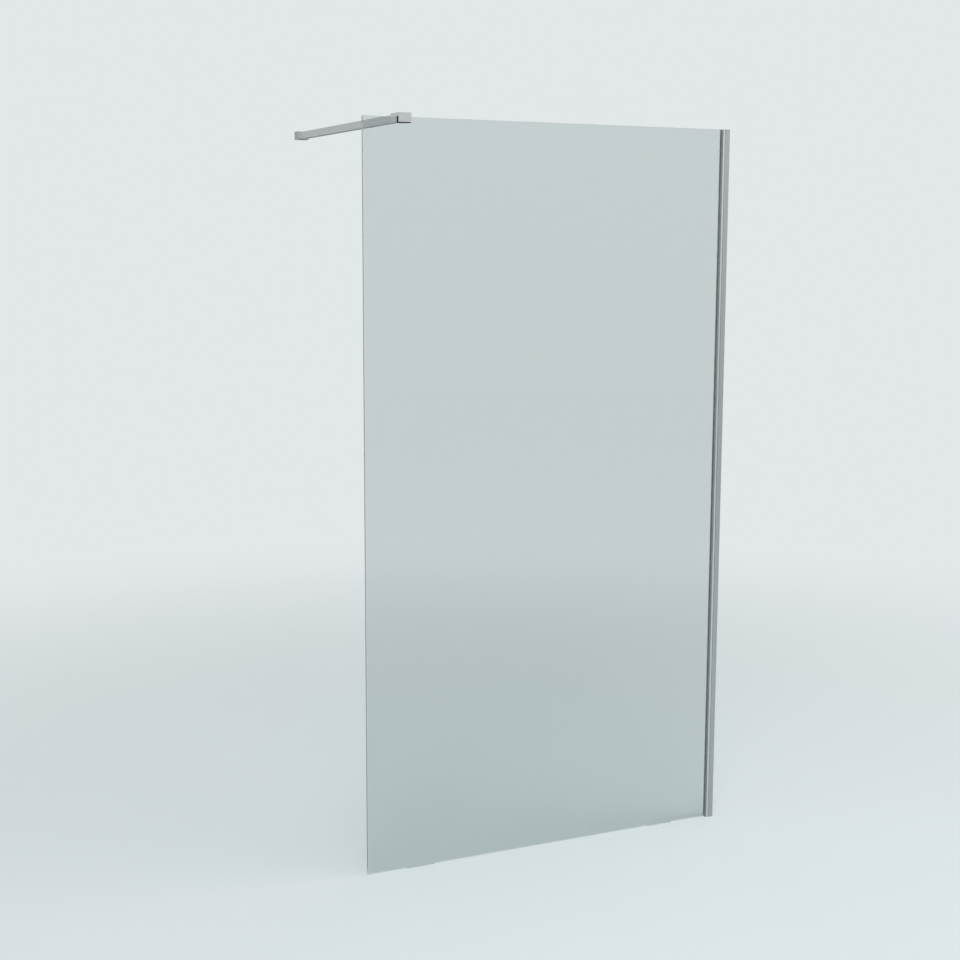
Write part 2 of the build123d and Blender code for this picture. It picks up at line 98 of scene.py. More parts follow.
class Tree:
    """A shader node tree that is being built, with short calls for its nodes and links."""

    def __init__(self, tree: bpy.types.NodeTree) -> None:
        """Wraps a node tree.

        Args:
            tree: The tree of a material, a world or a node group.
        """
        self.tree = tree

    def node(self, kind: str, **settings: object) -> bpy.types.Node:
        """Adds a node.

        Args:
            kind: The node's type name.
            **settings: Attributes of the node, such as its operation.

        Returns:
            The new node.
        """
        node = self.tree.nodes.new(kind)
        for name, value in settings.items():
            setattr(node, name, value)
        return node

    def feed(self, socket: bpy.types.NodeSocket, source: Source) -> None:
        """Links a socket to another, or sets its constant.

        Args:
            socket: The input to feed.
            source: Another node's output, or a constant.
        """
        if isinstance(source, bpy.types.NodeSocket):
            self.tree.links.new(source, socket)
        else:
            socket.default_value = source

    def math(self, operation: str, *sources: Source, clamp: bool = False) -> bpy.types.NodeSocket:
        """Adds a Math node.

        Args:
            operation: The operation's name.
            *sources: What feeds its inputs, in order.
            clamp: Whether the result is kept between zero and one.

        Returns:
            Its output.
        """
        node = self.node("ShaderNodeMath", operation=operation, use_clamp=clamp)
        for socket, source in zip(node.inputs, sources):
            self.feed(socket, source)
        return node.outputs[0]

    def vector_math(self, operation: str, *sources: Source) -> bpy.types.Node:
        """Adds a Vector Math node and returns it."""
        node = self.node("ShaderNodeVectorMath", operation=operation)
        for socket, source in zip(node.inputs, sources):
            self.feed(socket, source)
        return node

    def step(
        self, value: Source, low: float, high: float, to_low: float = 0.0, to_high: float = 1.0
    ) -> bpy.types.NodeSocket:
        """Adds a smooth step from one value to another.

        Args:
            value: What is stepped.
            low: The value at which the step begins.
            high: The value at which it ends.
            to_low: The result before the step.
            to_high: The result after it.

        Returns:
            The output that holds the result.
        """
        node = self.node("ShaderNodeMapRange", interpolation_type="SMOOTHSTEP", clamp=True)
        for name, source in (("Value", value), ("From Min", low), ("From Max", high)):
            self.feed(node.inputs[name], source)
        node.inputs["To Min"].default_value = to_low
        node.inputs["To Max"].default_value = to_high
        return node.outputs["Result"]

    def noise(self, vector: Source, scale: Source, detail: float = 2.0) -> bpy.types.NodeSocket:
        """Adds a noise texture and returns its value output."""
        node = self.node("ShaderNodeTexNoise")
        self.feed(node.inputs["Vector"], vector)
        self.feed(node.inputs["Scale"], scale)
        node.inputs["Detail"].default_value = detail
        return node.outputs["Fac"]

    def mix(self, factor: Source, first: Source, second: Source) -> bpy.types.NodeSocket:
        """Mixes two colours.

        Args:
            factor: The share of the second colour.
            first: The first colour, or an output that holds it.
            second: The second colour, or an output that holds it.

        Returns:
            The mixed colour's output.
        """
        node = self.node("ShaderNodeMix", data_type="RGBA")
        colours = [socket for socket in node.inputs if socket.type == "RGBA"]
        self.feed(node.inputs[0], factor)
        self.feed(colours[0], first)
        self.feed(colours[1], second)
        return next(socket for socket in node.outputs if socket.type == "RGBA")

    def bump(self, height: bpy.types.NodeSocket, strength: float, depth: float) -> bpy.types.NodeSocket:
        """Adds a Bump node.

        Args:
            height: The pattern, from zero to one.
            strength: How much of the bump shows.
            depth: The real depth of the pattern in metres.

        Returns:
            The normal's output.
        """
        node = self.node("ShaderNodeBump")
        node.inputs["Strength"].default_value = strength
        node.inputs["Distance"].default_value = depth
        self.feed(node.inputs["Height"], height)
        return node.outputs["Normal"]

    def object_coordinates(self) -> bpy.types.NodeSocket:
        """Returns the place on the object, in metres."""
        return self.node("ShaderNodeTexCoord").outputs["Object"]


@dataclass(frozen=True)
class Effect:
    """A surface effect that several finishes share, as a node group that is built once.

    Attributes:
        name: The group's name.
        inputs: Each input's name and socket type.
        outputs: Each output's name and socket type.
        fill: Builds the inside of the group from the tree, its inputs and its outputs.
    """

    name: str
    inputs: tuple[tuple[str, str], ...]
    outputs: tuple[tuple[str, str], ...]
    fill: Callable[[Tree, bpy.types.NodeOutputs, bpy.types.NodeInputs], None]

    def group(self) -> bpy.types.NodeTree:
        """Returns the node group, built on its first use."""
        if self.name in bpy.data.node_groups:
            return bpy.data.node_groups[self.name]
        made = bpy.data.node_groups.new(self.name, "ShaderNodeTree")
        for name, kind in self.inputs:
            made.interface.new_socket(name=name, in_out="INPUT", socket_type=kind)
        for name, kind in self.outputs:
            made.interface.new_socket(name=name, in_out="OUTPUT", socket_type=kind)
        tree = Tree(made)
        entry = tree.node("NodeGroupInput")
        leave = tree.node("NodeGroupOutput")
        self.fill(tree, entry.outputs, leave.inputs)
        return made

    def place(self, tree: Tree, **values: Source) -> bpy.types.NodeOutputs:
        """Places the group in a material.

        Args:
            tree: The material's tree.
            **values: What feeds each input, by its name.

        Returns:
            The group's outputs.
        """
        node = tree.node("ShaderNodeGroup", node_tree=self.group())
        for name, source in values.items():
            tree.feed(node.inputs[name], source)
        return node.outputs


# The part of a noise's range over which a tone or a cover changes.
TONE_BAND = (0.3, 0.7)
WEAR_AND_HIGHLIGHT_BAND = (0.35, 0.6)
DUST_BAND = (0.35, 0.75)
# The broad lines and the mottle against the fine ones, and what edge wear and the painted edge highlight
# keep where they are least.
BROAD_SCALE = 0.07
BROAD_SHARE = 0.3
MOTTLE_SCALE = 0.02
LEAST_WEAR_AND_HIGHLIGHT = 0.45
# The widest part of a normal on a flat face and on a bevel, and the upward part where dust lies.
FLAT_FACING = 0.99
BEVEL_FACING = 0.90
DUSTY_FACING = (0.3, 0.95)
# Patches per metre, and how far wiping draws them out along the height.
DUST_PATCHES = 45.0
MARK_PATCHES = 38.0
WIPED_ALONG = (1.0, 1.0, 0.35)


def fill_drawn_lines(tree: Tree, given: bpy.types.NodeOutputs, out: bpy.types.NodeInputs) -> None:
    """Fills the group of fine lines that a die or a belt leaves along a piece.

    Args:
        tree: The group's tree.
        given: Vector is the place, and Density the lines per metre along each axis.
        out: Height is the depth of the lines, and Tone is how light they look.
    """
    place = tree.vector_math("MULTIPLY", given["Vector"], given["Density"]).outputs["Vector"]
    fine = tree.noise(place, 1.0, detail=3.0)
    broad = tree.noise(place, BROAD_SCALE, detail=1.0)
    fine_part = tree.math("MULTIPLY", fine, 1.0 - BROAD_SHARE)
    broad_part = tree.math("MULTIPLY", broad, BROAD_SHARE)
    tree.feed(out["Height"], tree.math("ADD", fine_part, broad_part))
    tree.feed(out["Tone"], tree.step(broad, *TONE_BAND))


def fill_fine_grain(tree: Tree, given: bpy.types.NodeOutputs, out: bpy.types.NodeInputs) -> None:
    """Fills the group of fine grain with a slow mottle, as on rubber, moulded plastic or etched metal.

    Args:
        tree: The group's tree.
        given: Vector is the place, and Grains the grains per metre.
        out: Height is the grain, and Tone the mottle.
    """
    fine = tree.noise(given["Vector"], given["Grains"], detail=4.0)
    slow = tree.noise(given["Vector"], tree.math("MULTIPLY", given["Grains"], MOTTLE_SCALE), detail=2.0)
    tree.feed(out["Height"], fine)
    tree.feed(out["Tone"], tree.step(slow, *TONE_BAND))


def fill_worn_and_highlighted_edges(tree: Tree, given: bpy.types.NodeOutputs, out: bpy.types.NodeInputs) -> None:
    """Fills the group that finds rounds and bevels, where handling polishes a piece and where a highlight
    is painted lighter.

    Args:
        tree: The group's tree.
        given: Vector is the place, and Patches the patches of wear per metre.
        out: Mask is one on a round or a bevel, and zero on a flat side.
    """
    facing = tree.node("ShaderNodeTexCoord").outputs["Normal"]
    split = tree.node("ShaderNodeSeparateXYZ")
    tree.feed(split.inputs[0], tree.vector_math("ABSOLUTE", facing).outputs["Vector"])
    level = tree.math("MAXIMUM", split.outputs["X"], split.outputs["Y"])
    widest = tree.math("MAXIMUM", level, split.outputs["Z"])
    bevel = tree.step(widest, FLAT_FACING, BEVEL_FACING)
    patches = tree.noise(given["Vector"], given["Patches"], detail=3.0)
    uneven = tree.step(patches, *WEAR_AND_HIGHLIGHT_BAND, LEAST_WEAR_AND_HIGHLIGHT, 1.0)
    tree.feed(out["Mask"], tree.math("MULTIPLY", bevel, uneven))


def fill_settled_dust(tree: Tree, given: bpy.types.NodeOutputs, out: bpy.types.NodeInputs) -> None:
    """Fills the group of thin dust on faces that look up.

    Args:
        tree: The group's tree.
        given: Vector is the place, and Amount the cover of the thickest dust.
        out: Mask is the cover of the dust.
    """
    split = tree.node("ShaderNodeSeparateXYZ")
    tree.feed(split.inputs[0], tree.node("ShaderNodeTexCoord").outputs["Normal"])
    upward = tree.step(split.outputs["Z"], *DUSTY_FACING)
    patches = tree.step(tree.noise(given["Vector"], DUST_PATCHES, detail=5.0), *DUST_BAND)
    tree.feed(out["Mask"], tree.math("MULTIPLY", tree.math("MULTIPLY", upward, patches), given["Amount"]))


def fill_hand_marks(tree: Tree, given: bpy.types.NodeOutputs, out: bpy.types.NodeInputs) -> None:
    """Fills the group of faint wiped streaks and marks, which change how sharply a surface mirrors.

    Args:
        tree: The group's tree.
        given: Vector is the place, Base the surface's roughness and Spread the most that it changes.
        out: Roughness is the roughness with its marks.
    """
    wiped = tree.vector_math("MULTIPLY", given["Vector"], WIPED_ALONG).outputs["Vector"]
    marks = tree.noise(wiped, MARK_PATCHES, detail=5.0)
    change = tree.math("MULTIPLY", tree.math("SUBTRACT", marks, 0.5), given["Spread"])
    both_ways = tree.math("MULTIPLY", change, 2.0)
    tree.feed(out["Roughness"], tree.math("ADD", given["Base"], both_ways, clamp=True))


VECTOR = "NodeSocketVector"
FLOAT = "NodeSocketFloat"
PLACE = ("Vector", VECTOR)
PATTERN = (("Height", FLOAT), ("Tone", FLOAT))
MASK = (("Mask", FLOAT),)
DRAWN_LINES = Effect("drawn_lines", (PLACE, ("Density", VECTOR)), PATTERN, fill_drawn_lines)
FINE_GRAIN = Effect("fine_grain", (PLACE, ("Grains", FLOAT)), PATTERN, fill_fine_grain)
WORN_AND_HIGHLIGHTED_EDGES = Effect("worn_and_highlighted_edges", (PLACE, ("Patches", FLOAT)), MASK, fill_worn_and_highlighted_edges)
SETTLED_DUST = Effect("settled_dust", (PLACE, ("Amount", FLOAT)), MASK, fill_settled_dust)
HAND_MARKS = Effect(
    "hand_marks", (PLACE, ("Base", FLOAT), ("Spread", FLOAT)), (("Roughness", FLOAT),), fill_hand_marks
)
DUST_COLOUR: Colour = (0.62, 0.61, 0.58)


def new_material(name: str) -> tuple[bpy.types.Material, Tree, bpy.types.Node, bpy.types.Node]:
    """Starts a material.

    Args:
        name: The material's name.

    Returns:
        The material, its tree, its Principled node and its output node.
    """
    material = bpy.data.materials.new(name)
    material.use_nodes = True
    material.node_tree.nodes.clear()
    tree = Tree(material.node_tree)
    shader = tree.node("ShaderNodeBsdfPrincipled")
    output = tree.node("ShaderNodeOutputMaterial")
    tree.feed(output.inputs["Surface"], shader.outputs[0])
    return material, tree, shader, output


@dataclass(frozen=True)
class MetalFinish:
    """Metal with lines along its length, bevels made lighter by wear and by a painted highlight, wiped
    marks and a trace of dust.

    Attributes:
        name: The material's name.
        colour: The metal's colour.
        roughness: How far it blurs what it mirrors.
        marks: The most that wiped marks change the roughness.
        along: The direction of its lines, or nothing for a fine grain.
        line_depth: The depth of the lines or grain, in metres.
        edge_wear_and_highlight_gain: How much lighter the bevels are, as wear and as a painted highlight.
        dust: The cover of the thickest dust.
    """

    name: str
    colour: Colour
    roughness: float
    marks: float
    along: Axis | None
    line_depth: float
    edge_wear_and_highlight_gain: float
    dust: float

    LINES_ACROSS: ClassVar[float] = 5200.0
    LINES_ALONG: ClassVar[float] = 14.0
    GRAINS: ClassVar[float] = 900.0
    TONE_DEPTH: ClassVar[float] = 0.93
    BUMP_STRENGTH: ClassVar[float] = 0.35
    WEAR_AND_HIGHLIGHT_PATCHES: ClassVar[float] = 60.0
    POLISH: ClassVar[float] = 0.8

    def pattern(self, tree: Tree, place: bpy.types.NodeSocket) -> bpy.types.NodeOutputs:
        """Returns the outputs of the metal's lines, or of its grain."""
        if self.along is None:
            return FINE_GRAIN.place(tree, Vector=place, Grains=self.GRAINS)
        density = [self.LINES_ACROSS] * 3
        density[self.along.value] = self.LINES_ALONG
        return DRAWN_LINES.place(tree, Vector=place, Density=tuple(density))

    def build(self) -> bpy.types.Material:
        """Returns the new material."""
        material, tree, shader, _ = new_material(self.name)
        place = tree.object_coordinates()
        pattern = self.pattern(tree, place)
        edge_wear_and_highlight = WORN_AND_HIGHLIGHTED_EDGES.place(tree, Vector=place, Patches=self.WEAR_AND_HIGHLIGHT_PATCHES)["Mask"]
        dust = SETTLED_DUST.place(tree, Vector=place, Amount=self.dust)["Mask"]
        shade = opaque(scaled(self.colour, self.TONE_DEPTH))
        colour = tree.mix(pattern["Tone"], shade, opaque(self.colour))
        # Bevels are painted lighter: partly wear, partly a painted highlight along every edge.
        colour = tree.mix(edge_wear_and_highlight, colour, opaque(scaled(self.colour, self.edge_wear_and_highlight_gain)))
        tree.feed(shader.inputs["Base Color"], tree.mix(dust, colour, opaque(DUST_COLOUR)))
        marks = HAND_MARKS.place(tree, Vector=place, Base=self.roughness, Spread=self.marks)["Roughness"]
        polished = tree.math("MULTIPLY", marks, tree.step(edge_wear_and_highlight, 0.0, 1.0, 1.0, self.POLISH))
        tree.feed(shader.inputs["Roughness"], tree.math("ADD", polished, dust, clamp=True))
        tree.feed(shader.inputs["Metallic"], tree.math("SUBTRACT", 1.0, dust, clamp=True))
        normal = tree.bump(pattern["Height"], self.BUMP_STRENGTH, self.line_depth)
        tree.feed(shader.inputs["Normal"], normal)
        return material


@dataclass(frozen=True)
class MouldedFinish:
    """Rubber or plastic with a fine grain, a slow mottle, bevels made lighter by wear and by a painted
    highlight, and a trace of dust.

    Attributes:
        name: The material's name.
        colour: The material's colour.
        roughness: How matt it is.
        grains: The grains per metre.
        grain_depth: The depth of the grain, in metres.
        metallic: One for a metal coat, and zero for bare plastic.
        edge_wear_and_highlight_gain: How much lighter the bevels are, as wear and as a painted highlight.
        dust: The cover of the thickest dust.
    """

    name: str
    colour: Colour
    roughness: float
    grains: float
    grain_depth: float
    metallic: float = 0.0
    edge_wear_and_highlight_gain: float = 1.25
    dust: float = 0.25

    MOTTLE: ClassVar[float] = 0.86
    BUMP_STRENGTH: ClassVar[float] = 0.5
    WEAR_AND_HIGHLIGHT_PATCHES: ClassVar[float] = 90.0
    MARKS: ClassVar[float] = 0.08

    def build(self) -> bpy.types.Material:
        """Returns the new material."""
        material, tree, shader, _ = new_material(self.name)
        place = tree.object_coordinates()
        grain = FINE_GRAIN.place(tree, Vector=place, Grains=self.grains)
        edge_wear_and_highlight = WORN_AND_HIGHLIGHTED_EDGES.place(tree, Vector=place, Patches=self.WEAR_AND_HIGHLIGHT_PATCHES)["Mask"]
        dust = SETTLED_DUST.place(tree, Vector=place, Amount=self.dust)["Mask"]
        colour = tree.mix(grain["Tone"], opaque(scaled(self.colour, self.MOTTLE)), opaque(self.colour))
        # Bevels are painted lighter: partly wear, partly a painted highlight along every edge.
        colour = tree.mix(edge_wear_and_highlight, colour, opaque(scaled(self.colour, self.edge_wear_and_highlight_gain)))
        tree.feed(shader.inputs["Base Color"], tree.mix(dust, colour, opaque(DUST_COLOUR)))
        marks = HAND_MARKS.place(tree, Vector=place, Base=self.roughness, Spread=self.MARKS)["Roughness"]
        tree.feed(shader.inputs["Roughness"], tree.math("ADD", marks, dust, clamp=True))
        shader.inputs["Metallic"].default_value = self.metallic
        normal = tree.bump(grain["Height"], self.BUMP_STRENGTH, self.grain_depth)
        tree.feed(shader.inputs["Normal"], normal)
        return material


@dataclass(frozen=True)
class ClearFinish:
    """Clear glass or plastic, with a tint, ground edges and the faint waves of heat-treated sheet.

    Attributes:
        name: The material's name.
        tint: What is left of white light after it went through.
        rim_tint: The same for light that goes through a ground edge.
        rim_roughness: How matt the ground edges are.
        depth_colour: The colour that a long way through the sheet takes.
        density: How soon it takes that colour, per metre.
        bend: The index of refraction.
        wave_depth: The depth of the waves, in metres.
    """

    name: str
    tint: Colour
    rim_tint: Colour
    rim_roughness: float
    depth_colour: Colour
    density: float
    bend: float
    wave_depth: float

    WAVES: ClassVar[float] = 3.4
    RIM_FACING: ClassVar[tuple[float, float]] = (0.95, 0.80)

    def build(self) -> bpy.types.Material:
        """Returns the new material."""
        material, tree, shader, output = new_material(self.name)
        place = tree.object_coordinates()
        split = tree.node("ShaderNodeSeparateXYZ")
        facing = tree.node("ShaderNodeTexCoord").outputs["Normal"]
        tree.feed(split.inputs[0], tree.vector_math("ABSOLUTE", facing).outputs["Vector"])
        rim = tree.step(split.outputs["Y"], *self.RIM_FACING)
        tree.feed(shader.inputs["Base Color"], tree.mix(rim, opaque(self.tint), opaque(self.rim_tint)))
        tree.feed(shader.inputs["Roughness"], tree.math("MULTIPLY", rim, self.rim_roughness))
        shader.inputs["Transmission Weight"].default_value = 1.0
        shader.inputs["IOR"].default_value = self.bend
        waves = tree.noise(place, self.WAVES, detail=0.0)
        tree.feed(shader.inputs["Normal"], tree.bump(waves, 1.0, self.wave_depth))
        through = tree.node("ShaderNodeBsdfTransparent")
        through.inputs["Color"].default_value = opaque(self.tint)
        choice = tree.node("ShaderNodeMixShader")
        tree.feed(choice.inputs["Fac"], tree.node("ShaderNodeLightPath").outputs["Is Shadow Ray"])
        tree.feed(choice.inputs[1], shader.outputs[0])
        tree.feed(choice.inputs[2], through.outputs[0])
        tree.feed(output.inputs["Surface"], choice.outputs[0])
        depth = tree.node("ShaderNodeVolumeAbsorption")
        depth.inputs["Color"].default_value = opaque(self.depth_colour)
        depth.inputs["Density"].default_value = self.density
        tree.feed(output.inputs["Volume"], depth.outputs[0])
        return material


# The wall channel is the glazing channel's aluminium in a darker copy: painted shade of the side wall
# beside it, which the scene leaves out.
SHADED_WALL_ALUMINIUM = MetalFinish(
    name="shaded_wall_aluminium",
    colour=(0.44, 0.46, 0.465),
    roughness=0.36,
    marks=0.07,
    along=Axis.Z,
    line_depth=0.004 * MM,
    edge_wear_and_highlight_gain=1.25,
    dust=0.12,
)
GLAZING_ALUMINIUM = MetalFinish(
    name="glazing_aluminium",
    colour=(0.68, 0.705, 0.71),
    roughness=0.30,
    marks=0.07,
    along=Axis.Z,
    line_depth=0.004 * MM,
    edge_wear_and_highlight_gain=1.25,
    dust=0.12,
)
CHROME_BAR = MetalFinish(
    name="chrome_bar",
    colour=(0.56, 0.575, 0.585),
    roughness=0.24,
    marks=0.08,
    along=Axis.Y,
    line_depth=0.002 * MM,
    edge_wear_and_highlight_gain=1.2,
    dust=0.10,
)
CHROME_CLAMP = MetalFinish(
    name="chrome_clamp",
    colour=(0.62, 0.635, 0.64),
    roughness=0.22,
    marks=0.08,
    along=None,
    line_depth=0.0008 * MM,
    edge_wear_and_highlight_gain=1.15,
    dust=0.10,
)
# The bracket is the clamp's chrome in a darker copy: painted shade of the wall that it is screwed to, which
# the scene leaves out.
SHADED_CHROME_BRACKET = MetalFinish(
    name="shaded_chrome_bracket",
    colour=(0.42, 0.435, 0.44),
    roughness=0.27,
    marks=0.06,
    along=None,
    line_depth=0.0002 * MM,
    edge_wear_and_highlight_gain=1.05,
    dust=0.08,
)
STAINLESS_STEEL = MetalFinish(
    name="stainless_steel",
    colour=(0.55, 0.55, 0.54),
    roughness=0.3,
    marks=0.1,
    along=None,
    line_depth=0.006 * MM,
    edge_wear_and_highlight_gain=1.3,
    dust=0.0,
)
SEAL_RUBBER = MouldedFinish(
    name="seal_rubber",
    colour=(0.17, 0.185, 0.185),
    roughness=0.62,
    grains=3000.0,
    grain_depth=0.02 * MM,
    dust=0.15,
)
LINER_RUBBER = MouldedFinish(
    name="liner_rubber",
    colour=(0.035, 0.038, 0.038),
    roughness=0.7,
    grains=3000.0,
    grain_depth=0.02 * MM,
    dust=0.1,
)
PACKER_PLASTIC = MouldedFinish(
    name="packer_plastic",
    colour=(0.78, 0.78, 0.75),
    roughness=0.5,
    grains=2200.0,
    grain_depth=0.02 * MM,
    edge_wear_and_highlight_gain=1.08,
)
GREY_PLASTIC = MouldedFinish(
    name="grey_plastic",
    colour=(0.52, 0.54, 0.54),
    roughness=0.28,
    grains=1800.0,
    grain_depth=0.01 * MM,
    metallic=0.85,
    edge_wear_and_highlight_gain=1.15,
)
CLEAR_GLASS = ClearFinish(
    name="clear_glass",
    tint=(0.73, 0.767, 0.770),
    rim_tint=(0.96, 1.0, 0.99),
    rim_roughness=0.5,
    depth_colour=(0.30, 0.62, 0.56),
    density=1.5,
    bend=1.5,
    wave_depth=0.02 * MM,
)
CLEAR_PLASTIC = ClearFinish(
    name="clear_plastic",
    tint=(0.90, 0.92, 0.92),
    rim_tint=(0.84, 0.87, 0.87),
    rim_roughness=0.2,
    depth_colour=(0.8, 0.88, 0.86),
    density=5.0,
    bend=1.45,
    wave_depth=0.01 * MM,
)
CLEAR_SEAL = MouldedFinish(
    name="clear_seal",
    colour=(0.80, 0.84, 0.84),
    roughness=0.35,
    grains=1500.0,
    grain_depth=0.01 * MM,
    edge_wear_and_highlight_gain=1.05,
    dust=0.1,
)


Finish = Union[MetalFinish, MouldedFinish, ClearFinish]


class Paint:
    """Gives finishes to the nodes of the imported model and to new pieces."""

    def __init__(self) -> None:
        """Starts with no material built."""
        self.built: dict[str, bpy.types.Material] = {}

    def material(self, finish: Finish) -> bpy.types.Material:
        """Returns a finish's material, built on its first use."""
        if finish.name not in self.built:
            self.built[finish.name] = finish.build()
        return self.built[finish.name]

    def dress(self, piece: bpy.types.Object, finish: Finish) -> None:
        """Puts a finish on a piece.

        Args:
            piece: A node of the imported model, or a new piece.
            finish: Its finish.
        """
        if not piece.material_slots:
            piece.data.materials.append(None)
        for slot in piece.material_slots:
            slot.material = self.material(finish)
        LOG.info("%s: %s", piece.name, finish.name)

    def dress_nodes(self, names: Iterable[str], finish: Finish) -> None:
        """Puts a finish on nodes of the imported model, by their names."""
        for name in names:
            self.dress(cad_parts[name], finish)


def finished_piece(name: str, shape: bmesh.types.BMesh, body: Body) -> bpy.types.Object:
    """Makes a new piece of a finished shape.

    Args:
        name: The piece's name.
        shape: Its shape, in place. It is freed.
        body: The body that it rides on.

    Returns:
        The piece, smooth apart from its sharp edges.
    """
    mesh = bpy.data.meshes.new(name)
    bmesh.ops.recalc_face_normals(shape, faces=shape.faces)
    shape.to_mesh(mesh)
    shape.free()
    mesh.shade_smooth()
    mesh.set_sharp_from_angle(angle=SHARP_ANGLE)
    piece = bpy.data.objects.new(name, mesh)
    bpy.context.scene.collection.objects.link(piece)
    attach(piece, body.value)
    return piece


def gathered(shapes: Iterable[bmesh.types.BMesh]) -> bmesh.types.BMesh:
    """Gathers shapes into one.

    Args:
        shapes: The shapes, in place. Each is freed.

    Returns:
        The one shape.
    """
    group = bmesh.new()
    for shape in shapes:
        mesh = bpy.data.meshes.new("shape")
        shape.to_mesh(mesh)
        shape.free()
        group.from_mesh(mesh)
        bpy.data.meshes.remove(mesh)
    return group


def centres_in_row(node: str, pointing: Axis, along: Axis, count: int) -> tuple[list[Vector], float, float]:
    """Finds the round pieces of a node that lie evenly in a row.

    Args:
        node: The node that holds them.
        pointing: The direction of their own axes.
        along: The direction of the row.
        count: How many there are.

    Returns:
        The low end of each one's axis, their radius and their length.
    """
    low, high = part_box(node)
    size = high - low
    across = next(axis for axis in Axis if axis not in (pointing, along))
    radius = size[across.value] / 2
    first = (low + high) / 2
    first[pointing.value] = low[pointing.value]
    spans = max(count - 1, 1)
    pitch = (size[along.value] - 2 * radius) / spans
    if count > 1:
        first[along.value] = low[along.value] + radius
    return [first + along.vector * pitch * index for index in range(count)], radius, size[pointing.value]


def turned(pointing: Axis, at: Vector) -> Matrix:
    """Returns the transform that stands a shape's own +Z along a direction, at a place."""
    turn = Vector((0, 0, 1)).rotation_difference(pointing.vector)
    return Matrix.Translation(at) @ turn.to_matrix().to_4x4()


